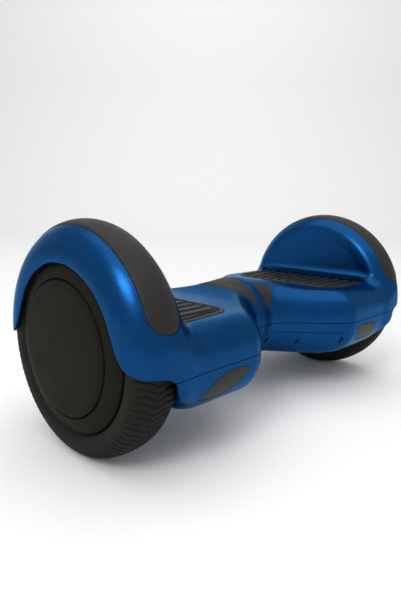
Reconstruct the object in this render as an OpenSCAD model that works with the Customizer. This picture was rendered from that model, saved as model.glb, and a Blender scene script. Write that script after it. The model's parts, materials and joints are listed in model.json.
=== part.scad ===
// Two-wheeled self balancing board: two shell halves that twist against each other on a
// central pivot tube, each carrying a hub-motor wheel under a rounded fender.
// X runs along the axle (left half at -X), the front faces -Y, Z is up, and the tyres
// stand on z = 0. Every module draws the right-hand piece; side(-1) mirrors it.

/* [Wheels] */
// Outside diameter of the tyre
tyre_d = 254; // [250:1:258]
// Width of the tyre
tyre_w = 58; // [54:1:58]
// Distance between the middles of the two tyres
track = 500; // [496:2:520]
// Diameter of the rim that the tyre sits on
rim_d = 192; // [188:1:194]
// Diameter of the flat cover on the wheel's outer face
hub_cover_d = 152; // [140:1:156]

/* [Body] */
// Front-to-back depth of each half
body_depth = 270; // [268:1:272]
// Height of the platform above the floor
platform_z = 160; // [158:1:164]
// Height of the underside above the floor
belly_z = 61; // [56:1:63]
// Height of the joint between upper and lower shell
parting_z = 115; // [113:1:117]
// Height of the pivot that joins the two halves
pivot_z = 120; // [118:1:122]
// Outside diameter of the round neck at the middle
neck_d = 115; // [110:1:118]
// Thickness of the moulded shells
wall = 3; // [2.5:0.1:3.5]

/* [Pads and lenses] */
// Length of the foot pad along the axle
pad_len = 98; // [90:1:100]
// Front-to-back size of the foot pad at the fender
pad_depth = 204; // [190:1:206]
// How far a foot pad sinks when stood on
pad_travel = 1.2; // [0.8:0.1:1.3]
// Width of the black bumper strip over the fender
strip_w = 42; // [36:1:44]

/* [Pivot] */
// Outside diameter of the pivot tube
pivot_d = 30; // [28:1:32]
// Twist of one half against the other, each way, in degrees
pivot_twist = 10; // [6:1:10]

/* [Hidden] */

BLUE = [0.04, 0.27, 0.6];
BLACK = [0.14, 0.14, 0.13];
STEEL = [0.62, 0.63, 0.65];
ALU = [0.75, 0.76, 0.78];
GREEN = [0.1, 0.35, 0.2];

axle_z = tyre_d / 2;
tyre_x = track / 2;
rim_r = rim_d / 2;

// Fender: a ring of round section around the tyre, with a flat lip on its outer side.
fender_tube_r = 37.7;
fender_ring_r = 100;
fender_x = tyre_x - 2;
fender_lip_r = 93;
fender_end = 3;                             // degrees that the fender runs on below the axle
arch_r = tyre_d / 2 + 4.5;                  // clearance cylinder around the tyre
panel_x = fender_x - fender_tube_r + 4.2;   // visible face of the wall inboard of the wheel
cheek_x = tyre_x - 10;                      // outer end of the lower shell beside the tyre
seam = 0.5;                                 // half the gap between the two necks
axle_opening_r = 20;
strip_proud = 0.8;
strip_low = 15;                             // angle of the bumper strip's tips above the axle

// Body section: rounded box whose depth swells from the neck to the platform.
flare_x = [seam, 44, 76, 120];
flare = [0, 0.22, 0.66, 1];
neck_r = neck_d / 2;
top_r = 34;
belly_r = 54;

// Foot pad: a trapezium with round corners in a shallow tray.
pad_x = panel_x - 4.5 - pad_len;
pad_taper = 10;
pad_round = 26;
pad_gap = 0.6;
tray_z = platform_z - 4;
pad_post = [[pad_x + 28, 55], [pad_x + 28, -55]];
pad_z = tray_z + pad_travel + 0.3;
pad_t = 2.5;
rib_pitch = 18;
rib_w = 11;
rib_h = 1.6;
boss_top = tray_z - 0.5;

// Axle, its clamp and the motor inside the rim
axle_r = 8.5;
axle_in = 172;
axle_out = tyre_x + 24;
clamp_x = [176, 206];
clamp_half = 20;
clamp_t = 14;
clamp_bolt_r = 2.5;
stator_r = 68;
magnet_r = 84;
bearing_r = 17.5;
bearing_w = 11;
running_gap = 0.05;
valve_r = 3;
valve_at = magnet_r + 8.1;                  // distance of the valve from the axle
rim_in = tyre_x - tyre_w / 2 + 1;
rim_out = tyre_x + tyre_w / 2 + 1.5;
hub_face = tyre_x + tyre_w / 2 + 8;

// Cast frame that stands on four feet inside each half, with side flanges that carry the sensor board
frame_half = 72;
foot_h = 6;
frame_z = belly_z + wall + foot_h;
frame_t = 4;
flange_x = 112;
flange_t = 4;
deck_z = 130;
board_t = 1.6;

// Pivot: a tube fixed in the left frame that turns in two bushes of the right frame
boss_x = [14, 62];
boss_r = 22;
boss_half = 12;
tube_r = pivot_d / 2;
tube_wall = 3.5;
bush_r = tube_r + 2.5;
bush_len = 14;
ring_x = boss_x[1] + 1;                     // retaining ring beyond the right frame's boss
ring_t = 2;
groove = 1.2;
stop_x = 34;
stop_r = 3;

// Power button (left half) and charging inlet (right half) on the rear face
rear_at = [150, 100];                       // x and z of their centre
rear_y = 132;                               // round flat that they sit in
collar_r = 15;
button_r = 8;
button_travel = 1.5;
inlet_r = 10;
cap_r = 11.5;
cap_y = rear_y + 1.8;
cap_t = 2.2;
hinge_y = cap_y + cap_t / 2;
hinge_r = cap_t / 2 + 0.15;
hinge_half = 5;
hinge_pin_r = 0.5;

// Self-tapping screws, their bosses, and the screws under the frame's feet
screw_r = 1.6;
screw_head_r = 3.4;
screw_boss_r = 5;
foot_screw_r = 2;
foot_head_r = 4;

module side(s) {
    mirror([s < 0 ? 1 : 0, 0, 0]) children();
}

module tube(r_out, r_in, x0, x1, z = axle_z, fn = 96) {
    translate([x0, 0, z]) rotate([0, 90, 0]) difference() {
        cylinder(r = r_out, h = x1 - x0, $fn = fn);
        translate([0, 0, -1]) cylinder(r = r_in, h = x1 - x0 + 2, $fn = fn);
    }
}

module rod(r, x0, x1, z = axle_z, fn = 64) {
    translate([x0, 0, z]) rotate([0, 90, 0]) cylinder(r = r, h = x1 - x0, $fn = fn);
}

function mix(a, b, t) = a + (b - a) * t;

function arc(cx, cy, r, a0, a1, n) =
    [for (i = [0 : n]) let (a = a0 + (a1 - a0) * i / n) [cx + r * cos(a), cy + r * sin(a)]];

function reversed(points) = [for (i = [len(points) - 1 : -1 : 0]) points[i]];

// Vertical cylinder at the point [x, y]
module post(p, r, z0, z1) {
    translate([p[0], p[1], z0]) cylinder(r = r, h = z1 - z0, $fn = 32);
}

// Outline in Y and Z of the body at a swelling of t, from 0 at the neck to 1 at the platform
function body_outline(t, inset) = let (
    half = mix(neck_r, body_depth / 2, t) - inset,
    top = mix(pivot_z + neck_r, platform_z, min(1, 1.6 * t)) - inset,
    low = mix(pivot_z - neck_r, belly_z, t) + inset,
    rt = mix(neck_r, top_r, t) - inset,
    rb = mix(neck_r, belly_r, t) - inset
) concat(
    arc(half - rt, top - rt, rt, 0, 90, 8), arc(rt - half, top - rt, rt, 90, 180, 8),
    arc(rb - half, low + rb, rb, 180, 270, 10), arc(half - rb, low + rb, rb, 270, 360, 10));

module body_slice(x, t, inset, thick = 0.01) {
    translate([x, 0, 0]) rotate([90, 0, 90]) linear_extrude(thick) polygon(body_outline(t, inset));
}

// The whole outer form of one half without its fender
module body_form(inset, x_end = cheek_x) {
    for (i = [0 : 2]) hull() {
        body_slice(flare_x[i], flare[i], inset);
        body_slice(flare_x[i + 1], flare[i + 1], inset);
    }
    body_slice(flare_x[3], 1, inset, x_end - flare_x[3]);
}

// Ring about the axle, from its section drawn as [r, x] points, between two angles from the front
module ring_sector(points, a0 = 0, a1 = 360) {
    translate([0, 0, axle_z]) rotate([0, 90, 0]) rotate([0, 0, 270 - a1])
        rotate_extrude(angle = a1 - a0, $fn = 128) polygon(points);
}

// Section of the fender as [r, x] points: over the tyre outside, back under it inside
module fender() {
    inner = fender_tube_r - wall;
    outline = concat(
        arc(fender_ring_r, fender_x, fender_tube_r, -90, 90, 18),
        [[fender_lip_r, fender_x + fender_tube_r], [fender_lip_r, fender_x + inner]],
        arc(fender_ring_r, fender_x, inner, 90, -60, 15),
        [[fender_ring_r, panel_x + wall]]);
    ring_sector(outline, -fender_end, 180 + fender_end);
}

module wheel_space() {
    rod(arch_r, panel_x + wall, tyre_x + 60, axle_z, 128);
}

// Upright wall between the body's inside and the wheel
module side_wall() {
    body_slice(panel_x, 1, 0.2, wall);
    intersection() {
        rod(fender_ring_r + 3, panel_x, panel_x + wall, axle_z, 128);
        above(parting_z);
    }
}

module pad_outline(grow) {
    r = pad_round + grow;
    x0 = pad_x - grow + r;
    x1 = pad_x + pad_len + grow;
    y0 = pad_depth / 2 - pad_taper + grow - r;
    y1 = pad_depth / 2 + grow;
    slope = pad_taper / (x1 - x0);
    for (m = [0, 1]) mirror([0, m]) {
        translate([x0, y0]) circle(r, $fn = 48);
        polygon([[x0 - r, 0], [x0 - r, y0], [x0, y0], [x0 - slope * r, y0 + r], [x1, y1], [x1, 0]]);
    }
}

module lens_outline(s, grow = 0) {
    if (s < 0) {
        translate([164, 93]) intersection() {
            rotate(-14) translate([0, -42]) circle(54 + grow, $fn = 96);
            rotate(-14) translate([0, 42]) circle(54 + grow, $fn = 96);
        }
    } else {
        translate([159, 95.5]) union() {
            square([56 + 2 * grow, 12 + 2 * grow], center = true);
            square([44 + 2 * grow, 24 + 2 * grow], center = true);
            for (a = [-22, 22], b = [-6, 6]) translate([a, b]) circle(6 + grow, $fn = 32);
        }
    }
}

module front_prism(y0, y1) {
    translate([0, y1, 0]) rotate([90, 0, 0]) linear_extrude(y1 - y0) children();
}

function boss_points() = [for (x = [104, 190], y = [-98, 98]) [x, y]];
function frame_points() = [for (x = [120, 168], y = [-60, 60]) [x, y]];
function clamp_holes() = [for (x = [183, 199], y = [-14, 14]) [x, y]];

module shell_skin() {
    difference() {
        body_form(0);
        body_form(wall);
        wheel_space();
    }
}

module above(z) {
    translate([-5, -200, z]) cube([400, 400, 300]);
}

// Tray for the foot pad, open towards the fender
module pad_tray() {
    translate([0, 0, tray_z]) linear_extrude(20) intersection() {
        pad_outline(pad_gap);
        square([2 * (panel_x - 1), 400], center = true);
    }
}

module upper_shell() {
    color(BLUE) difference() {
        union() {
            intersection() {
                union() {
                    shell_skin();
                    side_wall();
                }
                above(parting_z + 0.2);
            }
            fender();
            translate([0, 0, tray_z - wall]) linear_extrude(2 * wall) pad_outline(wall);
            for (p = boss_points()) post(p, screw_boss_r, parting_z + 0.2, boss_top);
        }
        pad_tray();
        for (p = pad_post) post(p, 6, tray_z - 10, tray_z + 10);
        for (p = boss_points()) post(p, screw_r, parting_z - 1, boss_top - 10);
        rod(axle_opening_r, panel_x - 5, panel_x + 10);
        strip_band(fender_tube_r - 1.5, fender_tube_r + 5, 0.3);
    }
}

module lower_shell(s) {
    color(BLUE) difference() {
        union() {
            difference() {
                union() {
                    shell_skin();
                    side_wall();
                }
                above(parting_z - 0.2);
            }
            for (p = boss_points()) post(p, screw_boss_r, belly_z + 4, parting_z - 0.2);
            rear_cylinder(rear_at, collar_r, -9, 0);
        }
        rear_cylinder(rear_at, collar_r, 0, 20);
        front_prism(-160, -108) lens_outline(s, 0.2);
        for (p = boss_points()) {
            post(p, screw_r, belly_z - 1, parting_z);
            post(p, screw_head_r + 0.2, belly_z - 1, belly_z + 9);
        }
        for (p = frame_points()) {
            post(p, foot_screw_r + 0.1, belly_z - 1, belly_z + 9);
            post(p, foot_head_r + 0.2, belly_z - 1, belly_z + board_t);
        }
        rod(axle_opening_r, panel_x - 5, panel_x + 10);
        rear_cylinder(rear_at, s < 0 ? button_r + 0.3 : inlet_r, -20, 10);
        if (s < 0) rear_cylinder(rear_at, button_r + 2.4, -20, -5.7);
    }
}

// Cylinder square to the rear face, from y0 to y1 behind the round flat moulded there
module rear_cylinder(at, r, y0, y1) {
    translate([at[0], rear_y + y0, at[1]]) rotate([-90, 0, 0]) cylinder(r = r, h = y1 - y0, $fn = 64);
}

// Space over the fender's crest that the bumper strip fills, with round ends
module strip_band(r_in, r_out, grow) {
    half = strip_w / 2 + grow;
    reach = strip_low + atan(strip_w / 2 / (fender_ring_r + fender_tube_r));
    section = concat(arc(fender_ring_r, fender_x, r_out, -60, 60, 14),
                     reversed(arc(fender_ring_r, fender_x, r_in, -60, 60, 14)));
    slab = [[60, fender_x - half], [170, fender_x - half], [170, fender_x + half], [60, fender_x + half]];
    intersection() {
        ring_sector(section, 2, 178);
        union() {
            translate([0, 0, axle_z]) for (m = [0, 1]) mirror([0, m, 0]) rotate([reach, 0, 0])
                translate([fender_x, -90, 0]) rotate([90, 0, 0]) cylinder(r = half, h = 80, $fn = 64);
            ring_sector(slab, reach, 180 - reach);
        }
    }
}

module fender_bumper() {
    color(BLACK) strip_band(fender_tube_r - 1.5, fender_tube_r + strip_proud, 0);
}

module foot_pad() {
    ribs = floor((pad_depth / 2 - pad_taper - rib_w) / rib_pitch);
    color(BLACK) translate([0, 0, pad_z]) {
        linear_extrude(pad_t) pad_outline(0);
        for (i = [-ribs : ribs]) translate([pad_x + 8, i * rib_pitch - rib_w / 2, pad_t])
            cube([pad_len - 12, rib_w, rib_h]);
    }
}

module pad_plungers() {
    color(BLACK) for (p = pad_post) post(p, 4, deck_z + 14, pad_z);
}

// Black panel over the top of each neck, proud of the shell
module neck_trim() {
    color(BLACK) difference() {
        intersection() {
            body_form(-0.8);
            translate([0, 100, pivot_z + 18]) rotate([90, 0, 0])
                linear_extrude(200) polygon([[seam, 0], [16, 12], [34, 60], [seam, 60]]);
        }
        body_form(0);
    }
}

module front_lens(s) {
    color(BLACK) intersection() {
        difference() {
            body_form(0.3);
            body_form(2.4);
        }
        front_prism(-160, -60) lens_outline(s);
    }
}

module frame_plate() {
    outline = [[boss_x[0], 18], [46, 18], [flange_x, frame_half], [clamp_x[1], frame_half]];
    translate([0, 0, frame_z]) linear_extrude(frame_t)
        polygon(concat(outline, [for (p = reversed(outline)) [p[0], -p[1]]]));
}

// The left frame grips the pivot tube; the right frame holds its bushes and the stop pin
module chassis_frame(s) {
    boss_len = boss_x[1] - boss_x[0];
    clamp_len = clamp_x[1] - clamp_x[0];
    color(ALU) difference() {
        union() {
            frame_plate();
            for (m = [0, 1]) mirror([0, m, 0]) translate([flange_x, frame_half - flange_t, frame_z])
                cube([clamp_x[1] - flange_x, flange_t, deck_z - frame_z]);
            rod(boss_r, boss_x[0], boss_x[1], pivot_z);
            translate([boss_x[0], -boss_half, frame_z])
                cube([boss_len, 2 * boss_half, pivot_z - frame_z]);
            translate([clamp_x[0], -clamp_half, frame_z])
                cube([clamp_len, 2 * clamp_half, axle_z - frame_z]);
            for (p = frame_points()) post(p, 7, belly_z + wall, frame_z);
        }
        rod(s < 0 ? tube_r : bush_r, boss_x[0] - 1, boss_x[1] + 1, pivot_z);
        rod(axle_r, clamp_x[0] - 1, clamp_x[1] + 1);
        for (p = frame_points()) post(p, foot_screw_r, belly_z, frame_z + frame_t + 1);
        for (p = clamp_holes()) post(p, clamp_bolt_r, axle_z - 20, axle_z + 1);
        if (s > 0) post([stop_x, 0], stop_r, pivot_z, pivot_z + boss_r + 1);
    }
}

module axle_clamp() {
    color(ALU) difference() {
        translate([clamp_x[0], -clamp_half, axle_z])
            cube([clamp_x[1] - clamp_x[0], 2 * clamp_half, clamp_t]);
        rod(axle_r, clamp_x[0] - 1, clamp_x[1] + 1);
        for (p = clamp_holes()) post(p, clamp_bolt_r, axle_z - 1, axle_z + clamp_t + 1);
    }
}

module clamp_screws() {
    color(STEEL) for (p = clamp_holes()) {
        post(p, clamp_bolt_r, axle_z - 18, axle_z + clamp_t);
        post(p, clamp_bolt_r + 1.7, axle_z + clamp_t, axle_z + clamp_t + 4);
    }
}

module case_screws() {
    head_z = belly_z + 9;
    color(STEEL) {
        for (p = boss_points()) {
            post(p, screw_r, head_z, parting_z + 20);
            post(p, screw_head_r, head_z - 2.5, head_z);
        }
        for (p = frame_points()) {
            post(p, foot_screw_r, belly_z + board_t, frame_z + frame_t);
            post(p, foot_head_r, belly_z, belly_z + board_t);
        }
    }
}

module axle() {
    color(STEEL) rod(axle_r, axle_in, axle_out);
}

module stator() {
    color([0.6, 0.35, 0.2]) difference() {
        union() {
            tube(stator_r, axle_r, tyre_x - 10, tyre_x + 8);
            tube(24, axle_r, tyre_x - 14, tyre_x + 12);
        }
        for (a = [0 : 30 : 330]) translate([0, 0, axle_z]) rotate([a, 0, 0])
            translate([tyre_x - 20, -2, stator_r / 2]) cube([40, 4, stator_r]);
    }
}

module wheel_rim() {
    color(BLACK) difference() {
        union() {
            tube(rim_r, magnet_r + 4, rim_in, rim_out);
            tube(magnet_r + 5, 26, rim_in, rim_in + 4);
            tube(28, bearing_r, rim_in, rim_in + bearing_w);
            tube(magnet_r + 5, hub_cover_d / 2 + 0.1, rim_out - 4.5, rim_out);
        }
        rod(valve_r, rim_in - 2, rim_in + 16, axle_z + valve_at, 24);
    }
}

module valve_stem() {
    color(BLACK) rod(valve_r, rim_in - 1.5, rim_in + 16, axle_z + valve_at, 24);
}

module magnet_ring() {
    color(STEEL) tube(magnet_r + 4, magnet_r - 2, tyre_x - 14, tyre_x + 12);
}

module wheel_bearings() {
    color(STEEL) for (x = [rim_in, tyre_x + 14])
        tube(bearing_r, axle_r + running_gap, x, x + bearing_w - 1);
}

// Flat cover with a bevelled edge, and the socket behind it for the outer bearing
module hub_cover() {
    edge = hub_cover_d / 2;
    section = [[0, hub_face - 4], [0, hub_face], [edge - 5, hub_face - 0.6], [edge - 3, hub_face - 1.6],
               [edge - 1, hub_face - 2.4], [edge, hub_face - 4], [edge, hub_face - 11],
               [edge - 16, hub_face - 11], [edge - 16, hub_face - 4.5]];
    color(BLACK) {
        ring_sector(section);
        tube(24, bearing_r, tyre_x + 14, hub_face - 3);
    }
}

// Half of the tyre's section as [r, x] points: bead, sidewall, shoulder, crown
module tyre() {
    half = tyre_w / 2;
    outer = tyre_d / 2;
    flank = arc(outer - 19, tyre_x + half - 16, 16, 90, 40, 6);
    crown = [[outer - 3.4, tyre_x + 20], [outer - 1.2, tyre_x + 12], [outer, tyre_x + 4]];
    right = concat([[rim_r, tyre_x + half - 3]], flank, crown);
    left = [for (p = reversed(right)) [p[0], 2 * tyre_x - p[1]]];
    color(BLACK) ring_sector(concat(right, left));
}

module sensor_board() {
    color(GREEN) translate([pad_x + 8, -frame_half, deck_z]) cube([40, 2 * frame_half, board_t]);
    color(BLACK) for (p = pad_post) translate([p[0] - 6, p[1] - 5, deck_z + board_t]) cube([12, 10, 9]);
}

// The stop pin of the right half reaches into a slot that lets the tube turn by pivot_twist
module pivot_tube() {
    slot_half = stop_r + tube_r * sin(pivot_twist) + 0.5;
    color(STEEL) difference() {
        tube(tube_r, tube_r - tube_wall, -boss_x[1], boss_x[1] + 5, pivot_z);
        translate([stop_x - stop_r - 0.3, -slot_half, pivot_z + 5])
            cube([2 * stop_r + 0.6, 2 * slot_half, 20]);
        tube(tube_r + 1, tube_r - groove, ring_x - 0.1, ring_x + ring_t + 0.1, pivot_z);
    }
}

module pivot_bushes() {
    color([0.75, 0.6, 0.3]) for (x = [boss_x[0], boss_x[1] - bush_len])
        tube(bush_r, tube_r + running_gap, x, x + bush_len, pivot_z);
}

module pivot_retaining_ring() {
    color(STEEL) tube(tube_r + 4, tube_r - groove, ring_x, ring_x + ring_t, pivot_z);
}

module pivot_stop_pin() {
    color(STEEL) post([stop_x, 0], stop_r, pivot_z + tube_r - 3, pivot_z + boss_r + 0.5);
}

module neck_seal() {
    color(BLACK) tube(neck_r - 5, neck_r - 9, -seam, seam - 0.1, pivot_z);
}

// Circuit board on its heat spreader, with its power transistors and capacitors
module main_board() {
    z = frame_z + frame_t;
    spreader = 6;
    top = z + spreader + board_t;
    color(GREEN) translate([-164, -45, z + spreader]) cube([94, 90, board_t]);
    color(ALU) translate([-164, -45, z]) cube([94, 90, spreader]);
    color(BLACK) for (y = [-24, 0, 24]) translate([-150, y - 8, top]) cube([30, 16, 14]);
    color(STEEL) for (y = [-25, 0, 25]) post([-90, y], 8, top, top + 22);
}

module battery_pack() {
    color([0.1, 0.25, 0.5]) translate([72, -62, frame_z + frame_t]) cube([98, 124, 40]);
}

module power_button() {
    color(BLACK) {
        rear_cylinder(rear_at, button_r, -8, 1.5);
        rear_cylinder(rear_at, button_r + 1.6, -8, -6);
        rear_cylinder(rear_at, 3, -16, -8);
    }
}

module power_switch() {
    size = 16;
    color(BLACK) translate([rear_at[0] - size / 2, rear_y - 35 - button_travel, rear_at[1] - size / 2])
        cube([size, size + 2, size]);
}

// Cylinder on the cap's hinge line, reaching half a width to each side of the cap's centre
module hinge_rod(r, half) {
    translate([rear_at[0] - half, hinge_y, rear_at[1] + cap_r]) rotate([0, 90, 0])
        cylinder(r = r, h = 2 * half, $fn = 32);
}

// Round socket with three contact pins, and two ears that hold the cap's hinge pin
module charge_inlet() {
    color(BLACK) {
        difference() {
            union() {
                rear_cylinder(rear_at, inlet_r, -22, 0);
                rear_cylinder(rear_at, cap_r, 0, 1.5);
                translate([rear_at[0] - 7.5, rear_y, rear_at[1] + 5]) cube([15, 1.3, 8]);
                difference() {
                    union() {
                        hinge_rod(1.4, 7.5);
                        translate([rear_at[0] - 7.5, rear_y, rear_at[1] + cap_r - 0.8])
                            cube([15, hinge_y - rear_y, 1.6]);
                    }
                    hinge_rod(4, 6);
                }
            }
            rear_cylinder(rear_at, 6.2, -10, 10);
        }
        hinge_rod(hinge_pin_r, 7);
        for (a = [90, 210, 330])
            rear_cylinder([rear_at[0] + 3.2 * cos(a), rear_at[1] + 3.2 * sin(a)], 0.8, -11, -4);
    }
}

// Round flap that hangs from the hinge pin
module charge_cap() {
    color(BLACK) difference() {
        union() {
            rear_cylinder(rear_at, cap_r, cap_y - rear_y, cap_y - rear_y + cap_t);
            hinge_rod(hinge_r, hinge_half);
        }
        hinge_rod(hinge_pin_r + running_gap, hinge_half + 1);
    }
}

side(-1) upper_shell();  // left_upper_shell
side(-1) lower_shell(-1);  // left_lower_shell
side(-1) fender_bumper();  // left_fender_bumper
side(-1) foot_pad();  // left_foot_pad
side(-1) pad_plungers();  // left_pad_plungers
side(-1) neck_trim();  // left_neck_trim
side(-1) front_lens(-1);  // left_front_lens
side(-1) chassis_frame(-1);  // left_chassis_frame
side(-1) axle_clamp();  // left_axle_clamp
side(-1) clamp_screws();  // left_clamp_screws
side(-1) axle();  // left_axle
side(-1) stator();  // left_stator
side(-1) wheel_rim();  // left_wheel_rim
side(-1) magnet_ring();  // left_magnet_ring
side(-1) wheel_bearings();  // left_wheel_bearings
side(-1) hub_cover();  // left_hub_cover
side(-1) tyre();  // left_tyre
side(-1) valve_stem();  // left_valve_stem
side(-1) sensor_board();  // left_sensor_board
side(-1) case_screws();  // left_case_screws
side(1) upper_shell();  // right_upper_shell
side(1) lower_shell(1);  // right_lower_shell
side(1) fender_bumper();  // right_fender_bumper
side(1) foot_pad();  // right_foot_pad
side(1) pad_plungers();  // right_pad_plungers
side(1) neck_trim();  // right_neck_trim
side(1) front_lens(1);  // right_front_lens
side(1) chassis_frame(1);  // right_chassis_frame
side(1) axle_clamp();  // right_axle_clamp
side(1) clamp_screws();  // right_clamp_screws
side(1) axle();  // right_axle
side(1) stator();  // right_stator
side(1) wheel_rim();  // right_wheel_rim
side(1) magnet_ring();  // right_magnet_ring
side(1) wheel_bearings();  // right_wheel_bearings
side(1) hub_cover();  // right_hub_cover
side(1) tyre();  // right_tyre
side(1) valve_stem();  // right_valve_stem
side(1) sensor_board();  // right_sensor_board
side(1) case_screws();  // right_case_screws
pivot_tube();
pivot_bushes();
pivot_retaining_ring();
pivot_stop_pin();
neck_seal();
main_board();
battery_pack();
side(-1) power_button();
side(-1) power_switch();
charge_inlet();
charge_cap();
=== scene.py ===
"""Looks of the self balancing board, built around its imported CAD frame.

Lengths inside the shape functions are millimetres, and mesh() turns them into metres. Every piece is
drawn as the right-hand one: the left one is its mirror image in X.
"""
import json
import math

import bmesh
import bpy
import numpy as np
import openvdb
from mathutils import Matrix, Vector


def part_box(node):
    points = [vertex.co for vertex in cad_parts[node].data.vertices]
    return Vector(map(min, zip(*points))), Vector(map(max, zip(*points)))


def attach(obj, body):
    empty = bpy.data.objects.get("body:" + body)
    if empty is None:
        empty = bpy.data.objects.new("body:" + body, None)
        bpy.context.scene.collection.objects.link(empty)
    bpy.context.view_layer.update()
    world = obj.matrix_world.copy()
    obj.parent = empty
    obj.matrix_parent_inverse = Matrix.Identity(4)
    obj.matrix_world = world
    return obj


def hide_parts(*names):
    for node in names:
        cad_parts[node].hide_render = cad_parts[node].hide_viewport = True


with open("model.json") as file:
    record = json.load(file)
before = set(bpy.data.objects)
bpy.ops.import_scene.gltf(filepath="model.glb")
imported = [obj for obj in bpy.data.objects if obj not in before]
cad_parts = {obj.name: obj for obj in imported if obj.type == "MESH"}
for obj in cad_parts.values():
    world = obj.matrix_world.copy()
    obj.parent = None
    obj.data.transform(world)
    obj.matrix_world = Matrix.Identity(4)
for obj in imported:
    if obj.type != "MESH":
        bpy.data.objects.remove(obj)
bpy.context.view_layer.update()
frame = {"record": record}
MM = 0.001
SIDES = {"left": -1, "right": 1}


def span(node):
    """Lowest and highest corner of a CAD node in millimetres."""
    lo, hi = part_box(node)
    return np.array(lo) / MM, np.array(hi) / MM


# ---------------------------------------------------------------- sizes from the frame
TYRE_LO, TYRE_HI = span("right_tyre")
SHELL_LO, SHELL_HI = span("right_upper_shell")
BELLY_LO, BELLY_HI = span("right_lower_shell")
PAD_LO, PAD_HI = span("right_foot_pad")
STRIP_LO, STRIP_HI = span("right_fender_bumper")
HUB_LO, HUB_HI = span("right_hub_cover")
RIM_LO, RIM_HI = span("right_wheel_rim")
SEAL_LO, SEAL_HI = span("neck_seal")
PLUNGER_LO, PLUNGER_HI = span("right_pad_plungers")
CAP_LO, CAP_HI = span("charge_cap")
BUTTON_LO, BUTTON_HI = span("power_button")

TYRE_R = (TYRE_HI[2] - TYRE_LO[2]) / 2
AXLE_Z = TYRE_R
TYRE_X = (TYRE_LO[0] + TYRE_HI[0]) / 2
TYRE_HALF = (TYRE_HI[0] - TYRE_LO[0]) / 2
HUB_R = (HUB_HI[2] - HUB_LO[2]) / 2
HUB_X = HUB_HI[0]
RIM_R = (RIM_HI[2] - RIM_LO[2]) / 2
RIM_X = RIM_HI[0]

# Body of each half: a round neck that swells into the platform
NECK_R = (SEAL_HI[2] - SEAL_LO[2]) / 2 + 5
PIVOT_Z = (SEAL_LO[2] + SEAL_HI[2]) / 2
HALF_DEPTH = BELLY_HI[1]
BELLY_Z = BELLY_LO[2]
PART_Z = (BELLY_HI[2] + SHELL_LO[2]) / 2
CHEEK_X = BELLY_HI[0]
PLATFORM_Z = PAD_HI[2] - 1.6
TRAY_Z = PAD_LO[2] - 1.5
TRAY_FLOOR = 2.2
TOP_R = 34
BELLY_R = 54
SWELL_X = (16, 120)
TOP_SWELL_X = (8, 86)
SEAM = 0.5
COLLAR_X = 6
PART_GAP = 0.4
WALL = 3.6
COLLAR_GROOVE = (0.6, 1.0)
COLLAR_PROUD = 0.7
PAD_ROUND = 26
PAD_TAPER = 10

# Recesses for let-in pieces: depth, reach of the cutters above the skin, gaps round lenses and pads
RECESS = 1.4
ABOVE = 4.0
LENS_GAP = 0.35
PAD_GAP = 0.7

# Meshing: spacing of the grid the shells are drawn from, and distance at which corners are merged
GRID = 2.0
MERGE = 0.003

# Fender: a ring of round section over the tyre, and the dished wall inboard of it
TUBE_R = 37.7
CREST_R = SHELL_HI[1]
RING_R = CREST_R - TUBE_R
FENDER_X = SHELL_HI[0] - TUBE_R
LIP_R = 93
FENDER_END_Z = AXLE_Z - 6
PANEL_X = FENDER_X - TUBE_R + 4.2
DISH_R = 110
ARCH_R = TYRE_R + 4.5
STRIP_HALF = (STRIP_HI[0] - STRIP_LO[0]) / 2
STRIP_PROUD = 0.75
STRIP_TIP = math.radians(15)
BEAD_R = 4.2
BEAD_Z = PLATFORM_Z + 5.5
BEAD_HALF = 104
BEAD_FADE = (82, 108)
CHEEK_LOW_X = PANEL_X + WALL + 1
CHEEK_Z = (BELLY_Z + 6, BELLY_Z + 46)

CAMERA_AT = (-0.5531, -0.4623, 0.2850)
YAW, DOWN, ROLL = 0.8068, 0.1960, 0.0171
FOCAL = 29.9


# ---------------------------------------------------------------- fields: negative inside
def smooth(t):
    """0 to 1 with level ends as t goes from 0 to 1."""
    t = np.clip(t, 0, 1)
    return t * t * (3 - 2 * t)


def between(value, ends):
    """0 to 1 with level ends as value goes from the first end to the second."""
    return smooth((value - ends[0]) / (ends[1] - ends[0]))


def mix(a, b, t):
    """a at t = 0 and b at t = 1."""
    return a + (b - a) * t


def join(a, b, k):
    """Union of two fields, blended over k."""
    h = np.clip(0.5 + 0.5 * (b - a) / k, 0, 1)
    return mix(b, a, h) - k * h * (1 - h)


def meet(a, b, k):
    """Where both fields are inside, blended over k."""
    return -join(-a, -b, k)


def cut(a, b, k):
    """Field a with b taken away, blended over k."""
    return meet(a, -b, k)


def round_box(p, q, half_p, half_q, r):
    """Rectangle with round corners."""
    a, b = np.abs(p) - half_p + r, np.abs(q) - half_q + r
    return np.minimum(np.maximum(a, b), 0) + np.hypot(np.maximum(a, 0), np.maximum(b, 0)) - r


def body_field(x, y, z):
    """The board without its fenders."""
    swell = between(np.abs(x), SWELL_X)
    top = mix(PIVOT_Z + NECK_R, PLATFORM_Z, between(np.abs(x), TOP_SWELL_X))
    low = mix(PIVOT_Z - NECK_R, BELLY_Z, swell)
    middle, half = (top + low) / 2, (top - low) / 2
    radius = np.where(z > middle, mix(NECK_R, TOP_R, swell), mix(NECK_R, BELLY_R, swell))
    collar = COLLAR_PROUD * (1 - between(np.abs(x), (COLLAR_X, COLLAR_X + 1.5)))
    depth = mix(NECK_R, HALF_DEPTH, swell)
    return round_box(y, z - middle, depth, half, np.minimum(radius, half)) - collar


def tube_field(x, r, radius):
    """Ring of round section about the axle whose sides run straight on inwards."""
    side = np.abs(x - FENDER_X) - radius
    return np.where(r > RING_R, np.hypot(r - RING_R, x - FENDER_X) - radius, side)


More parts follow.
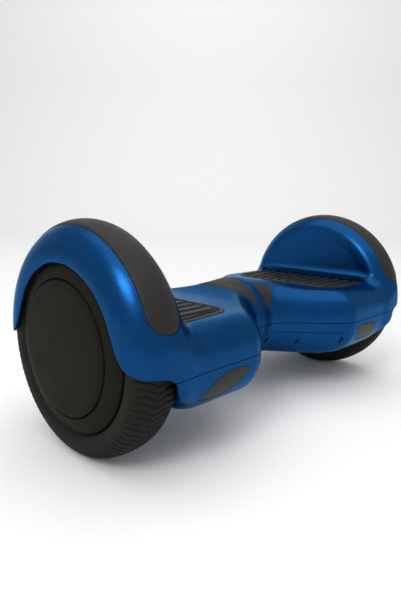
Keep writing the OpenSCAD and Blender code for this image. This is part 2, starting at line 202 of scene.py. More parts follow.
def form_field(x, y, z):
    """The outer form of one half: body, fender, and the bead along the foot of its dished wall.

    The last number of each join, meet and cut is the size of its blend."""
    r = np.hypot(y, z - AXLE_Z)
    wheel = np.maximum(r - ARCH_R, PANEL_X + WALL - x)
    body = cut(meet(body_field(x, y, z), x - CHEEK_X - 4, 4), wheel, 2)
    fender = cut(tube_field(x, r, TUBE_R), meet(x - PANEL_X, r - DISH_R, 14), 12)
    bead_r = BEAD_R * (1 - between(np.abs(y), BEAD_FADE))
    bead = np.hypot(x - PANEL_X - 0.5, z - BEAD_Z) - bead_r
    form = join(join(body, fender, 18), np.maximum(bead, np.abs(y) - BEAD_HALF), 8)
    form = meet(form, np.abs(y) - CREST_R + 0.1, 2)
    high = between(z, CHEEK_Z)
    below = -join(x - mix(CHEEK_LOW_X, CHEEK_X, high), FENDER_END_Z - z, 22)
    mouth = np.maximum(r - LIP_R, FENDER_X - x)
    arch = np.maximum(tube_field(x, r, TUBE_R - WALL), PANEL_X + WALL - x)
    return cut(cut(form, join(mouth, below, 44), mix(30, 2.5, high)), arch, 2.2)


def shell_field(x, y, z):
    """form_field made hollow, and closed just past the middle of the board."""
    form = form_field(x, y, z)
    under_pad = np.minimum(z - TRAY_Z + TRAY_FLOOR, x - PAD_LO[0] + 6)
    hollow = np.maximum(np.maximum(body_field(x, y, z) + WALL, x - PANEL_X + WALL), form + 3)
    return np.maximum(np.maximum(form, -np.maximum(hollow, under_pad)), -3 - x)


def gradient(field, p, step=0.05):
    """Gradient of a field at points p, by central differences."""
    g = np.empty_like(p)
    for i in range(3):
        d = np.zeros(3)
        d[i] = step
        g[:, i] = (field(*(p + d).T) - field(*(p - d).T)) / (2 * step)
    return g


def settle(field, p, rounds=3, reach=1.0):
    """Moves points onto the field's surface."""
    for _ in range(rounds):
        g = gradient(field, p)
        move = field(*p.T)[:, None] * g / np.maximum((g * g).sum(1), 0.05)[:, None]
        length = np.linalg.norm(move, axis=1)[:, None]
        p = p - move * np.minimum(1, reach / np.maximum(length, 1e-9))
    return p


def surface(field, lo, hi, step):
    """Points and quads of a field's surface inside a box."""
    axes = [np.arange(a, b + step, step) for a, b in zip(lo, hi)]
    values = field(*np.meshgrid(*axes, indexing="ij")).astype(np.float32)
    grid = openvdb.FloatGrid(background=float(3 * step))
    grid.copyFromArray(np.clip(values, -3 * step, 3 * step))
    points, quads = grid.convertToQuads(0.0)
    return settle(field, points * step + np.array(lo)), quads


def hit(start, direction, far=160):
    """Where rays from inside the body leave it, and the body's outward normals there."""
    near, beyond = np.zeros(len(start)), np.full(len(start), float(far))
    for _ in range(36):
        middle = (near + beyond) / 2
        inside = body_field(*(start + direction * middle[:, None]).T) < 0
        near, beyond = np.where(inside, middle, near), np.where(inside, beyond, middle)
    points = start + direction * near[:, None]
    normals = gradient(body_field, points)
    return points, normals / np.linalg.norm(normals, axis=1)[:, None]


# ---------------------------------------------------------------- meshes
def finish_shading(data, sharp=35):
    """Smooth shading, but for edges above the sharp angle in degrees."""
    data.shade_smooth()
    data.set_sharp_from_angle(angle=math.radians(sharp))


def mesh(name, points, faces, side=1, sharp=35):
    """Object from millimetre points of the right-hand piece; side -1 mirrors it."""
    points = np.array(points, float).reshape(-1, 3) * (side * MM, MM, MM)
    data = bpy.data.meshes.new(name)
    data.from_pydata(points.tolist(), [], [list(map(int, f)) for f in faces])
    made = bmesh.new()
    made.from_mesh(data)
    bmesh.ops.remove_doubles(made, verts=made.verts, dist=MERGE * MM)
    bmesh.ops.recalc_face_normals(made, faces=made.faces)
    made.to_mesh(data)
    made.free()
    finish_shading(data, sharp)
    thing = bpy.data.objects.new(name, data)
    bpy.context.scene.collection.objects.link(thing)
    return thing


def twin(thing, name):
    """A copy with a mesh of its own."""
    other = thing.copy()
    other.data = thing.data.copy()
    other.name = other.data.name = name
    bpy.context.scene.collection.objects.link(other)
    return other


def carve(thing, tool, operation="DIFFERENCE"):
    """Boolean of thing and tool, applied to thing; the tool is used up."""
    modifier = thing.modifiers.new("carve", "BOOLEAN")
    modifier.operation, modifier.solver, modifier.object = operation, "MANIFOLD", tool
    result = bpy.data.meshes.new_from_object(thing.evaluated_get(bpy.context.evaluated_depsgraph_get()))
    thing.modifiers.clear()
    thing.data = result
    bpy.data.objects.remove(tool)
    return thing


def grid_faces(rows, columns, wrap_rows=False, wrap_columns=False):
    """Quads of a grid of points, each direction closed into a loop if it wraps."""
    starts = np.arange(rows - 1 + wrap_rows), np.arange(columns - 1 + wrap_columns)
    a, b = np.meshgrid(*starts, indexing="ij")
    a2, b2 = (a + 1) % rows, (b + 1) % columns
    quads = [a * columns + b, a2 * columns + b, a2 * columns + b2, a * columns + b2]
    return np.stack(quads, -1).reshape(-1, 4)


def slab(name, top, bottom, side=1, sharp=35):
    """Closed solid between two grids of points with the same rows and columns."""
    rows, columns = top.shape[:2]
    count = rows * columns
    sheet = grid_faces(rows, columns)
    first, last = np.arange(columns), np.arange(count - 1, count - columns - 1, -1)
    right, left = np.arange(2, rows) * columns - 1, np.arange(rows - 2, 0, -1) * columns
    rim = np.concatenate([first, right, last, left])
    after = np.roll(rim, -1)
    wall = np.stack([rim, after, after + count, rim + count], -1)
    faces = np.concatenate([sheet, sheet[:, ::-1] + count, wall])
    return mesh(name, np.concatenate([top.reshape(-1, 3), bottom.reshape(-1, 3)]), faces, side, sharp)


def box(lo, hi):
    """Block between two corners, for cutting."""
    corners = [[x, y, z] for x in (lo[0], hi[0]) for y in (lo[1], hi[1]) for z in (lo[2], hi[2])]
    faces = [(0, 1, 3, 2), (4, 6, 7, 5), (0, 4, 5, 1), (2, 3, 7, 6), (0, 2, 6, 4), (1, 5, 7, 3)]
    return mesh("tool", corners, faces)


def drum(centre, axis, r, lo, hi, segments=64):
    """Cylinder along Y or Z (axis 1 or 2) through centre, from lo to hi."""
    turn = np.linspace(0, 2 * math.pi, segments, endpoint=False)
    other = 3 - axis
    points = np.tile(np.array(centre, float), (2 * segments, 1))
    points[:, 0] += np.tile(r * np.cos(turn), 2)
    points[:, other] += np.tile(r * np.sin(turn), 2)
    points[:, axis] = np.repeat([lo, hi], segments)
    i = np.arange(segments)
    after = (i + 1) % segments
    sides = [list(face) for face in np.stack([i, after, after + segments, i + segments], -1)]
    return mesh("tool", points, sides + [list(i), list(i + segments)])


def lathe(name, profile, side=1, axis_z=AXLE_Z, segments=192, sharp=30):
    """Turns [x, r] points about a line along X."""
    profile = np.array(profile, float)
    turn = np.linspace(0, 2 * math.pi, segments, endpoint=False)[:, None]
    x = np.broadcast_to(profile[:, 0], (segments, len(profile)))
    points = np.stack([x, profile[:, 1] * np.sin(turn), axis_z + profile[:, 1] * np.cos(turn)], -1)
    return mesh(name, points, grid_faces(segments, len(profile), wrap_rows=True), side, sharp)


def drop_slivers(data, fewest=500):
    """Deletes what booleans leave behind: flat faces and connected parts with few corners."""
    made = bmesh.new()
    made.from_mesh(data)
    bmesh.ops.remove_doubles(made, verts=made.verts, dist=MERGE * MM)
    bmesh.ops.triangulate(made, faces=[face for face in made.faces if len(face.verts) > 4])
    bmesh.ops.dissolve_degenerate(made, dist=MERGE * MM, edges=made.edges)
    left = set(made.verts)
    while left:
        part, front = set(), [left.pop()]
        while front:
            vert = front.pop()
            part.add(vert)
            near = [edge.other_vert(vert) for edge in vert.link_edges]
            new = [other for other in near if other in left]
            left.difference_update(new)
            front.extend(new)
        if len(part) < fewest:
            bmesh.ops.delete(made, geom=list(part), context="VERTS")
    made.to_mesh(data)
    made.free()


# ---------------------------------------------------------------- materials
def noise(tree, scale, detail=3, roughness=0.5):
    """Noise fixed to the object, with its scale per metre."""
    place = tree.nodes.new("ShaderNodeTexCoord")
    texture = tree.nodes.new("ShaderNodeTexNoise")
    texture.inputs["Scale"].default_value = scale
    texture.inputs["Detail"].default_value = detail
    texture.inputs["Roughness"].default_value = roughness
    tree.links.new(place.outputs["Object"], texture.inputs["Vector"])
    return texture.outputs["Fac"]


def ramp(tree, value, low, high):
    """Colour between low and high."""
    made = tree.nodes.new("ShaderNodeValToRGB")
    for element, (position, colour) in zip(made.color_ramp.elements, ((0.35, low), (0.65, high))):
        element.position, element.color = position, (*colour, 1)
    tree.links.new(value, made.inputs["Fac"])
    return made.outputs["Color"]


def spread(tree, value, low, high):
    """Number between low and high."""
    made = tree.nodes.new("ShaderNodeMapRange")
    made.inputs["From Min"].default_value, made.inputs["From Max"].default_value = 0.3, 0.7
    made.inputs["To Min"].default_value, made.inputs["To Max"].default_value = low, high
    tree.links.new(value, made.inputs["Value"])
    return made.outputs["Result"]


def bump(tree, value, strength, distance):
    """Surface grain with its depth in millimetres."""
    made = tree.nodes.new("ShaderNodeBump")
    made.inputs["Strength"].default_value = strength
    made.inputs["Distance"].default_value = distance * MM
    tree.links.new(value, made.inputs["Height"])
    return made.outputs["Normal"]


def material(name, dark, light, rough, grain, scale, **fixed):
    """Shader whose colour and roughness vary over two scales of noise, with a fine surface grain.

    rough is the roughness range, grain the bump strength and its depth in millimetres, and scale
    the grain's noise scale per metre."""
    made = bpy.data.materials.new(name)
    made.use_nodes = True
    tree = made.node_tree
    shader = tree.nodes["Principled BSDF"]
    fine = noise(tree, scale, 4, 0.6)
    broad = noise(tree, scale / 40)
    tree.links.new(ramp(tree, fine, dark, light), shader.inputs["Base Color"])
    tree.links.new(spread(tree, broad, *rough), shader.inputs["Roughness"])
    tree.links.new(bump(tree, fine, *grain), shader.inputs["Normal"])
    for socket, value in fixed.items():
        shader.inputs[socket.replace("_", " ")].default_value = value
    return made


PAINT = material("blue_paint", (0.0004, 0.027, 0.100), (0.0016, 0.062, 0.205),
                 (0.26, 0.33), (0.20, 0.05), 1400, Metallic=0.95, Coat_Weight=0.09,
                 Coat_Roughness=0.26, Specular_Tint=(0.45, 0.70, 1.0, 1.0))
TRIM = material("black_trim", (0.011, 0.0105, 0.0088), (0.017, 0.0162, 0.0140),
                (0.46, 0.56), (0.25, 0.05), 2200, Specular_IOR_Level=0.20)
HUB = material("hub_black", (0.0080, 0.0080, 0.0055), (0.0105, 0.0105, 0.0076),
               (0.56, 0.64), (0.12, 0.03), 1800, Specular_IOR_Level=0.05)
RUBBER = material("pad_rubber", (0.0080, 0.0080, 0.0072), (0.0125, 0.0125, 0.0112),
                  (0.46, 0.56), (0.25, 0.06), 1500, Specular_IOR_Level=0.20)
TYRE = material("tyre_rubber", (0.0060, 0.0060, 0.0044), (0.0095, 0.0095, 0.0070),
                (0.60, 0.72), (0.30, 0.06), 1200, Specular_IOR_Level=0.14)
LENS = material("smoked_window", (0.018, 0.0175, 0.0150), (0.023, 0.0225, 0.0195),
                (0.36, 0.44), (0.05, 0.02), 900, Specular_IOR_Level=0.12)
STEEL = material("turned_steel", (0.52, 0.52, 0.54), (0.62, 0.62, 0.64),
                 (0.28, 0.36), (0.08, 0.02), 900, Metallic=1.0)
CAST = material("cast_aluminium", (0.56, 0.57, 0.59), (0.70, 0.71, 0.73),
                (0.42, 0.55), (0.35, 0.12), 700, Metallic=1.0)
BRONZE = material("sintered_bronze", (0.48, 0.32, 0.14), (0.60, 0.42, 0.20),
                  (0.38, 0.48), (0.20, 0.04), 1600, Metallic=1.0)
COPPER = material("motor_windings", (0.40, 0.15, 0.05), (0.62, 0.28, 0.10),
                  (0.30, 0.42), (0.50, 0.25), 500, Metallic=0.9)
BOARD = material("circuit_board", (0.012, 0.075, 0.030), (0.022, 0.120, 0.050),
                 (0.30, 0.42), (0.20, 0.05), 800)
SLEEVE = material("battery_wrap", (0.020, 0.060, 0.20), (0.035, 0.090, 0.27),
                  (0.25, 0.38), (0.30, 0.20), 300)
FINISHES = {"blue_shell": PAINT, "black_trim": TRIM, "hub_black": HUB, "pad_rubber": RUBBER, "tyre": TYRE,
            "lamp_lens": LENS, "steel": STEEL, "cast_aluminium": CAST, "bronze": BRONZE,
            "motor_windings": COPPER, "circuit_board": BOARD, "battery_wrap": SLEEVE}


def dress(thing, slot, body, *nodes, paint=None):
    """Gives a new piece the finish of its slot and the body it rides on, and hides the nodes it replaces.
    """
    thing.data.materials.clear()
    thing.data.materials.append(paint or FINISHES[slot])
    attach(thing, body)
    if nodes:
        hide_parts(*nodes)
    return thing


def dress_nodes():
    """CAD nodes keep their shape and take the finish of their slot."""
    for part in frame["record"]["subparts"]:
        node = bpy.data.objects.get(part["node"])
        if node and node.type == "MESH":
            for slot in node.material_slots:
                slot.material = FINISHES[part["material_slot"]]


# ---------------------------------------------------------------- outlines of the front details
# Each outline gives points along itself, its two edges at them, and its middle and tilt on the front.
def spaced(half, tip, count):
    """Points from -half to half, closer at the ends and just short of them."""
    return half * -np.cos(np.linspace(tip, math.pi - tip, count))


def leaf_outline(grow=0.0):
    """Pointed lamp window: two arcs between tips."""
    half, arc_r = 39 + grow, 61.0
    along = spaced(half, 0.04, 41)
    rise = np.sqrt(arc_r ** 2 - along ** 2) - math.sqrt(arc_r ** 2 - half ** 2)
    return along, -rise, rise, (166.5, 94.0), math.radians(-14)


def round_outline(middle, half, rise, power, tilt, tip=0.04, count=41):
    """Outline with four round corners, squarer for a higher power; tilt in degrees."""
    def outline(grow=0.0):
        along = spaced(half + grow, tip, count)
        edge = (rise + grow) * (1 - np.abs(along / (half + grow)) ** power) ** (1 / power)
        return along, -edge, edge, middle, math.radians(tilt)
    return outline


def slot_outline(x, z, half=5.0, rise=1.7, tilt=98):
    """Short narrow recess."""
    return round_outline((x, z), half, rise, 4, tilt, tip=0.1, count=25)


OUTLINES = {"left": leaf_outline, "right": round_outline((158.0, 95.5), 29, 12.5, 4.5, -3)}
SLOTS = ((17, 90), (56, 88), (100, 89))
SLOT_DEEP = 2.2
CREASE = slot_outline(64, 100.5, 44, 0.35, 0)
CREASE_DEEP = 1.0


def rounded(edge, roll):
    """Height of a rounded rim, 0 to 1, at a distance from its edge."""
    return np.sqrt(np.clip(edge / roll, 0, 1))


def front_band(outline, low, high, roll, columns=17, grow=0.0):
    """Top and bottom grids of a panel let into the front face."""
    along, under, over, centre, tilt = outline(grow)
    across = (1 - np.cos(np.linspace(0, math.pi, columns))) / 2
    u = np.repeat(along[:, None], columns, 1)
    v = mix(under[:, None], over[:, None], across[None, :])
    x = centre[0] + u * math.cos(tilt) - v * math.sin(tilt)
    z = centre[1] + u * math.sin(tilt) + v * math.cos(tilt)
    start = np.stack([x, 0 * x, z], -1).reshape(-1, 3)
    points, normals = hit(start, np.broadcast_to([0.0, -1.0, 0.0], start.shape))
    edge = np.minimum(v - under[:, None], over[:, None] - v)
    lift = mix(high - 0.8, high, rounded(edge, roll)) if roll else high + 0 * edge
    top = (points + normals * lift.reshape(-1, 1)).reshape(*x.shape, 3)
    return top, (points + normals * low).reshape(*x.shape, 3)


def neck_band(angles, inner, outer, low, high, roll, columns=15):
    """Top and bottom grids of a panel on the neck between two edges in X, along angles from the top."""
    across = (1 - np.cos(np.linspace(0, math.pi, columns))) / 2
    x = mix(inner[:, None], outer[:, None], across[None, :])
    phi = np.repeat(angles[:, None], columns, 1)
    start = np.stack([x, 0 * x, np.full_like(x, PIVOT_Z)], -1).reshape(-1, 3)
    direction = np.stack([0 * x, -np.sin(phi), np.cos(phi)], -1).reshape(-1, 3)
    points, normals = hit(start, direction)
    edge = np.minimum(x - inner[:, None], outer[:, None] - x)
    edge = np.minimum(edge, NECK_R * np.minimum(angles - angles[0], angles[-1] - angles)[:, None] * 2)
    lift = mix(-0.5, high, rounded(edge, roll))
    top = (points + normals * lift.reshape(-1, 1)).reshape(*x.shape, 3)
    return top, (points + normals * low).reshape(*x.shape, 3)


def strip_band(low, high, grow=0.0, roll=3.0):
    """Top and bottom grids of the strip over the fender's crest, with round ends."""
    half = STRIP_HALF + grow
    straight = (math.pi / 2 - STRIP_TIP) * CREST_R - STRIP_HALF
    end = np.linspace(0.04, math.pi / 2, 16)[:15]
    along = np.concatenate([-straight - half * np.cos(end), np.linspace(-straight, straight, 181),
                            straight + half * np.cos(end[::-1])])
    beyond = np.maximum(np.abs(along) - straight, 0)
    width = np.sqrt(half ** 2 - beyond ** 2)
    lateral = np.sin(np.linspace(-math.pi / 2, math.pi / 2, 49))[None, :] * width[:, None]
    edge = half - np.hypot(beyond[:, None], lateral)
    angle = (along / CREST_R)[:, None]

    def at(lift):
        beta = lateral / TUBE_R
        r = RING_R + (TUBE_R + lift) * np.cos(beta)
        x = FENDER_X + (TUBE_R + lift) * np.sin(beta)
        return np.stack([x, r * np.sin(angle), AXLE_Z + r * np.cos(angle)], -1)

    top = at(mix(high - 1.4, high, rounded(edge, roll)) if roll else high + 0 * edge)
    return top, at(low + 0 * edge)


def pad_half(x, grow=0.0):
    """Half the front-to-back size of the foot pad at x, with its round inner corners."""
    round_r = PAD_ROUND + grow
    along = np.clip(x - PAD_LO[0] + grow, 0, None)
    half = PAD_HI[1] + grow - PAD_TAPER * (1 - along / (PAD_HI[0] - PAD_LO[0] + grow))
    inset = np.clip(round_r - along, 0, round_r)
    return half - (round_r - np.sqrt(round_r ** 2 - inset ** 2))


def pad_rows(grow=0.0):
    """Rows along X over the foot pad, closer together round its corners."""
    corner = PAD_LO[0] - grow + (PAD_ROUND + grow) * (1 - np.cos(np.linspace(0, math.pi / 2, 16)))
    return np.concatenate([corner, np.linspace(corner[-1], PAD_HI[0] + grow, 60)[1:]])


# ---------------------------------------------------------------- shells
REAR_X = (CAP_LO[0] + CAP_HI[0]) / 2
REAR_Z = (BUTTON_LO[2] + BUTTON_HI[2]) / 2
REAR_Y = CAP_LO[1] - 1.65
REAR_FLAT_R = 15
REAR_HOLE_R = {"left": 8.3, "right": 10.0}
SCREW_HOLES = (((104, 190), (-98, 98), 3.6, 7), ((120, 168), (-60, 60), 4.2, 1.6))


def base_shell():
    """Both shells of the right half in one, with all that the two halves have in common."""
    lo = (-6, -CREST_R - 4, BELLY_Z - 4)
    hi = (SHELL_HI[0] + 4, CREST_R + 4, SHELL_HI[2] + 4)
    shell = mesh("shell", *surface(shell_field, lo, hi, GRID))
    rows = pad_rows(PAD_GAP)
    half = pad_half(rows, PAD_GAP)
    flat = np.stack([np.repeat(rows[:, None], 2, 1), half[:, None] * [-1, 1]], -1)

    def level(z):
        return np.concatenate([flat, np.full((*flat.shape[:2], 1), float(z))], -1)

    carve(shell, slab("tool", level(PLATFORM_Z + 40), level(TRAY_Z)))
    plunger_x = (PLUNGER_LO[0] + PLUNGER_HI[0]) / 2
    plunger_r = (PLUNGER_HI[0] - PLUNGER_LO[0]) / 2
    for y in (PLUNGER_LO[1] + plunger_r, PLUNGER_HI[1] - plunger_r):
        carve(shell, drum((plunger_x, y, 0), 2, plunger_r + 2, TRAY_Z - 6, TRAY_Z + 3, 32))
    carve(shell, slab("tool", *strip_band(-RECESS, ABOVE, 0.4, 0)))
    for columns, rows, r, deep in SCREW_HOLES:
        for x in columns:
            for y in rows:
                carve(shell, drum((x, y, 0), 2, r, BELLY_Z - 5, BELLY_Z + deep, 32))
    return shell


def detail_half(shell, name):
    """Cuts what only one half has: lamp window, slots and crease in front, and its fitting behind."""
    carve(shell, slab("tool", *front_band(OUTLINES[name], -RECESS, ABOVE, 0, grow=LENS_GAP)))
    if name == "right":
        for x, z in SLOTS:
            carve(shell, slab("tool", *front_band(slot_outline(x, z), -SLOT_DEEP, ABOVE, 0)))
        carve(shell, slab("tool", *front_band(CREASE, -CREASE_DEEP, ABOVE, 0)))
    centre = (REAR_X, 0, REAR_Z)
    carve(shell, drum(centre, 1, REAR_FLAT_R, REAR_Y - 9, REAR_Y), "UNION")
    carve(shell, drum(centre, 1, REAR_FLAT_R, REAR_Y, REAR_Y + 20))
    carve(shell, drum(centre, 1, REAR_HOLE_R[name], REAR_Y - 20, REAR_Y + 10))
    width, depth = COLLAR_GROOVE
    groove = [(COLLAR_X, NECK_R - depth), (COLLAR_X + width, NECK_R - depth),
              (COLLAR_X + width, NECK_R + 9), (COLLAR_X, NECK_R + 9), (COLLAR_X, NECK_R - depth)]
    carve(shell, lathe("tool", groove, axis_z=PIVOT_Z))


def shells():
    """The upper and lower shell of each half."""
    whole = base_shell()
    parts = {"upper": (PART_Z + PART_GAP, 400), "lower": (0, PART_Z - PART_GAP)}
    for name, side in SIDES.items():
        shell = twin(whole, f"{name}_shell_form")
        detail_half(shell, name)
        for part, (low, high) in parts.items():
            piece = twin(shell, f"{name}_{part}_shell_form")
            carve(piece, box((SEAM, -200, low), (400, 200, high)), "INTERSECT")
            if side < 0:
                piece.data.transform(Matrix.Scale(-1, 4, (1, 0, 0)))
                piece.data.flip_normals()
            drop_slivers(piece.data)
            finish_shading(piece.data)
            dress(piece, "blue_shell", f"{name}_half", f"{name}_{part}_shell")
        bpy.data.objects.remove(shell)
    bpy.data.objects.remove(whole)


def bumpers():
    """The black strip over each fender."""
    for name, side in SIDES.items():
        strip = slab(f"{name}_fender_strip", *strip_band(-1.1, STRIP_PROUD), side)
        dress(strip, "black_trim", f"{name}_half", f"{name}_fender_bumper")


def lamps():
    """The smoked lamp windows."""
    for name, side in SIDES.items():
        lens = slab(f"{name}_lamp_window", *front_band(OUTLINES[name], -1.3, 0.15, 1.2), side)
        dress(lens, "lamp_lens", f"{name}_half", f"{name}_front_lens")


def trims():
    """Black panels on the necks: one over the top on the left, one in front and one behind on the right."""
    start, near_edge, widest, least = COLLAR_X + 1.6, COLLAR_X + 1.9, 72, 22
    angles = np.radians(np.linspace(-widest, widest, 97))
    outer = near_edge + 38 * smooth((widest - np.degrees(np.abs(angles))) / 44)
    left = slab("left_neck_panel", *neck_band(angles, start + 0 * angles, outer, -1.5, 0.6, 2.5), -1)
    dress(left, "black_trim", "left_half", "left_neck_trim")
    degrees = np.linspace(least, widest, 49)
    angles = np.radians(degrees)
    outer = near_edge + 29 * np.minimum((degrees - least) / 15, ((widest - degrees) / 35) ** 0.5)
    grids = neck_band(angles, start + 0 * angles, outer, -1.5, 0.6, 2.5)
    for place, flip in (("front", 1), ("rear", -1)):
        panel = slab(f"right_neck_panel_{place}", *[grid * (1, flip, 1) for grid in grids], 1)
        dress(panel, "black_trim", "right_half", "right_neck_trim")


# ---------------------------------------------------------------- foot pads
RIB_PITCH = 18.0
RIB_W = 12.0
RIB_DEEP = 3.2
PAD_RIM = 7.0


def pad_edge(x, y, half):
    """Distance inwards from the outline of the pad."""
    corner_x = PAD_LO[0] + PAD_ROUND
    corner_y = pad_half(np.array([corner_x]))[0] - PAD_ROUND
    off_x, off_y = np.maximum(corner_x - x, 0), np.maximum(np.abs(y) - corner_y, 0)
    at_corner = (x < corner_x) & (np.abs(y) > corner_y)
    straight = np.minimum(half[:, None] - np.abs(y), x - PAD_LO[0])
    return np.where(at_corner, PAD_ROUND - np.hypot(off_x, off_y), straight)


def pads():
    """Rubber pads with a raised rim and rounded ribs that run along X."""
    rows = pad_rows()
    half = pad_half(rows)
    y = half[:, None] * np.linspace(-1, 1, 421)[None, :]
    x = np.repeat(rows[:, None], y.shape[1], 1)
    fan = mix(0.93, 1.0, (x - PAD_LO[0]) / (PAD_HI[0] - PAD_LO[0]))
    wave = 0.9 * np.sin((x - PAD_LO[0]) / 20)
    offset = np.abs(((y + wave) / fan / RIB_PITCH + 0.5) % 1 - 0.5) * RIB_PITCH
    edge = pad_edge(x, y, half)
    rim = smooth((PAD_RIM - edge) / 1.2)
    rib = np.clip((RIB_W / 2 - offset) / RIB_DEEP, 0, 1)
    ends = smooth((edge - PAD_RIM - 2.5) / 2) * smooth((PAD_HI[0] - 3 - x) / 3)
    rib = np.sqrt(1 - (1 - rib) ** 2) * ends
    z = mix(PAD_HI[2] - RIB_DEEP, PAD_HI[2], np.maximum(rib, 0.85 * rim)) - 1.8 * (1 - rounded(edge, 2.4))
    upper = np.stack([x, y, z], -1)
    lower = np.stack([x, y, np.full_like(x, PAD_LO[2])], -1)
    for name, side in SIDES.items():
        pad = slab(f"{name}_ribbed_pad", upper, lower, side, 50)
        dress(pad, "pad_rubber", f"{name}_pad", f"{name}_foot_pad")


# ---------------------------------------------------------------- wheels
TURNS = 1536
LUGS = 96
TYRE_SQUARE = 0.82
TREAD_R = RIM_R + 13
SIPE_DEEP = 1.4
NOTCH_DEEP = 2.2
CHANNEL_DEEP = 1.1


def tyre_section():
    """Across the tyre: its x from the middle and its r, a rounded box cut flat towards the rim."""
    t = np.radians(np.linspace(-128, 128, 113))
    x = TYRE_HALF * np.sign(np.sin(t)) * np.abs(np.sin(t)) ** TYRE_SQUARE
    rise = np.sign(np.cos(t)) * np.abs(np.cos(t)) ** TYRE_SQUARE
    return x, TREAD_R + (TYRE_R - TREAD_R) * rise


def tread_depth(turn, s):
    """How deep the tread is cut at an angle round the tyre and at s across it, -1 to 1."""
    wave = turn * LUGS / (2 * math.pi)
    sipe = np.abs((wave + 1.0 * np.cos(1.45 * s) + 0.2 * np.sin(8 * s)) % 1 - 0.5)
    sipes = smooth((0.22 - sipe) / 0.16) * smooth((0.985 - np.abs(s)) / 0.04)
    notch = np.abs((wave / 2 + 0.5 * s) % 1 - 0.5)
    notches = smooth((0.12 - notch) / 0.06) * smooth((0.10 - np.abs(s + 0.62)) / 0.05)
    channel = smooth((0.03 - np.abs(s + 0.42)) / 0.02) + smooth((0.02 - np.abs(s - 0.30)) / 0.015)
    return np.maximum(np.maximum(SIPE_DEEP * sipes, NOTCH_DEEP * notches), CHANNEL_DEEP * channel)


def tyres():
    """Tyre with curved sipes over the crown, notches on its inner side and two channels round it."""
    x, r = tyre_section()
    turn = np.linspace(0, 2 * math.pi, TURNS, endpoint=False)[:, None]
    depth = tread_depth(turn, (x / TYRE_HALF)[None, :]) * (r > TREAD_R + 3)[None, :]
    nx, nr = np.gradient(r), -np.gradient(x)
    size = np.hypot(nx, nr)
    px = x[None, :] + depth * (nx / size)[None, :]
    pr = r[None, :] + depth * (nr / size)[None, :]
    points = np.stack([TYRE_X + px, pr * np.sin(turn), AXLE_Z + pr * np.cos(turn)], -1)
    for name, side in SIDES.items():
        faces = grid_faces(TURNS, len(x), wrap_rows=True, wrap_columns=True)
        tyre = mesh(f"{name}_tyre_tread", points, faces, side, 60)
        dress(tyre, "tyre", f"{name}_wheel", f"{name}_tyre")


def hub_profile():
    """Section of the flat cover with its bevelled edge, as [x, r]."""
    face, ring = HUB_X, RIM_X
    return [(face - 0.2, 0), (face, 12), (face - 0.1, HUB_R - 9), (face - 0.5, HUB_R - 5.5),
            (face - 1.4, HUB_R - 3), (face - 3.0, HUB_R - 1.4), (ring - 1.2, HUB_R - 0.5),
            (ring - 3.5, HUB_R - 0.3), (ring - 8, HUB_R - 0.3), (ring - 8, 0)]


def rim_profile():
    """Section of the rim: lip round the cover, sloping face, barrel, inner wall and hollow."""
    ring, inner = RIM_X, RIM_LO[0]
    return [(ring - 3.5, HUB_R), (ring + 1.6, HUB_R + 0.2), (ring + 2.5, HUB_R + 1.0),
            (ring + 2.2, HUB_R + 4), (ring + 0.8, HUB_R + 9), (ring - 1.2, HUB_R + 14),
            (ring - 2.9, RIM_R - 2.2), (ring - 3.9, RIM_R - 0.8), (ring - 4.8, RIM_R - 0.3),
            (ring - 6, RIM_R - 0.2), (ring - 30, RIM_R - 0.2), (inner + 0.5, RIM_R - 0.4),
            (inner, RIM_R - 1.5), (inner, 27), (inner + 0.5, 26), (inner + 4, 26),
            (inner + 4, RIM_R - 7), (ring - 8, RIM_R - 7), (ring - 8, HUB_R), (ring - 3.5, HUB_R)]


def hubs():
    """Cover and rim of each wheel."""
    for name, side in SIDES.items():
        cover = lathe(f"{name}_hub_disc", hub_profile(), side)
        dress(cover, "hub_black", f"{name}_wheel", f"{name}_hub_cover")
        rim = lathe(f"{name}_rim_ring", rim_profile(), side)
        dress(rim, "black_trim", f"{name}_wheel", f"{name}_wheel_rim", paint=HUB)


# ---------------------------------------------------------------- stage
FLOOR_REACH = 40.0
CURVE_AT = 3.2
CURVE_R = 1.5
BACKDROP_TOP = 9.0


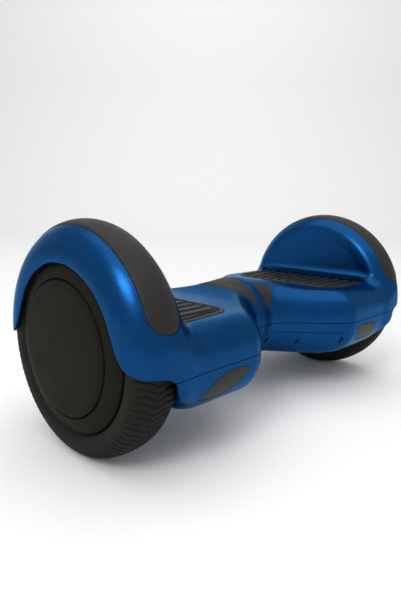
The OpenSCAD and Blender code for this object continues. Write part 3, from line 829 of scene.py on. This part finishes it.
def stage():
    """Pale floor that curves up into a backdrop far behind the board, drawn in metres."""
    bend = np.linspace(0, math.pi / 2, 33)
    curve = [(CURVE_AT + CURVE_R * math.sin(a), CURVE_R - CURVE_R * math.cos(a)) for a in bend]
    profile = np.array([(-FLOOR_REACH, 0.0), *curve, (CURVE_AT + CURVE_R, BACKDROP_TOP)]) / MM
    ahead = np.array([math.sin(YAW), math.cos(YAW)])
    across = np.array([ahead[1], -ahead[0]])
    reach = FLOOR_REACH / MM
    points = [[*(ahead * along + across * side), up] for along, up in profile for side in (-reach, reach)]
    floor = mesh("floor", points, grid_faces(len(profile), 2), 1, 180)
    paper = material("floor_paper", (0.80, 0.80, 0.80), (0.82, 0.82, 0.82), (0.85, 0.90), (0.02, 0.02), 300)
    floor.data.materials.append(paper)


def lamp(name, at, size, power, aim=(0, 0, 0.12), colour=(1, 1, 1)):
    """Rectangular light at a place in metres, turned towards aim."""
    light = bpy.data.lights.new(name, "AREA")
    light.shape = "RECTANGLE"
    light.size, light.size_y = size
    light.energy = power
    light.color = colour
    thing = bpy.data.objects.new(name, light)
    thing.location = at
    thing.rotation_euler = (Vector(aim) - Vector(at)).to_track_quat("-Z", "Y").to_euler()
    bpy.context.scene.collection.objects.link(thing)


def lights():
    """Soft light from above, a smaller one from the left, one on the backdrop, and a white surround."""
    lamp("overhead", (-0.1, -0.2, 3.0), (4.2, 4.2), 60)
    lamp("key_left", (-2.0, -0.7, 1.9), (0.9, 0.9), 24)
    lamp("backdrop", (1.9, 1.9, 3.6), (3.0, 3.0), 28, aim=(3.6, 3.6, 2.4))
    world = bpy.data.worlds.new("studio")
    world.use_nodes = True
    world.node_tree.nodes["Background"].inputs["Color"].default_value = (1.0, 1.0, 1.0, 1)
    world.node_tree.nodes["Background"].inputs["Strength"].default_value = 0.75
    bpy.context.scene.world = world
    bpy.context.scene.view_settings.view_transform = "Standard"


def camera():
    """Camera a little above the board, off its near front corner."""
    data = bpy.data.cameras.new("camera")
    data.sensor_width = 36
    data.lens = FOCAL
    data.clip_start = 0.02
    thing = bpy.data.objects.new("camera", data)
    forward = Vector((math.sin(YAW) * math.cos(DOWN), math.cos(YAW) * math.cos(DOWN), -math.sin(DOWN)))
    turn = forward.to_track_quat("-Z", "Y").to_matrix() @ Matrix.Rotation(ROLL, 3, "Z")
    thing.matrix_world = Matrix.Translation(CAMERA_AT) @ turn.to_4x4()
    bpy.context.scene.collection.objects.link(thing)
    bpy.context.scene.camera = thing


camera()
stage()
lights()
dress_nodes()
shells()
bumpers()
lamps()
trims()
pads()
tyres()
hubs()
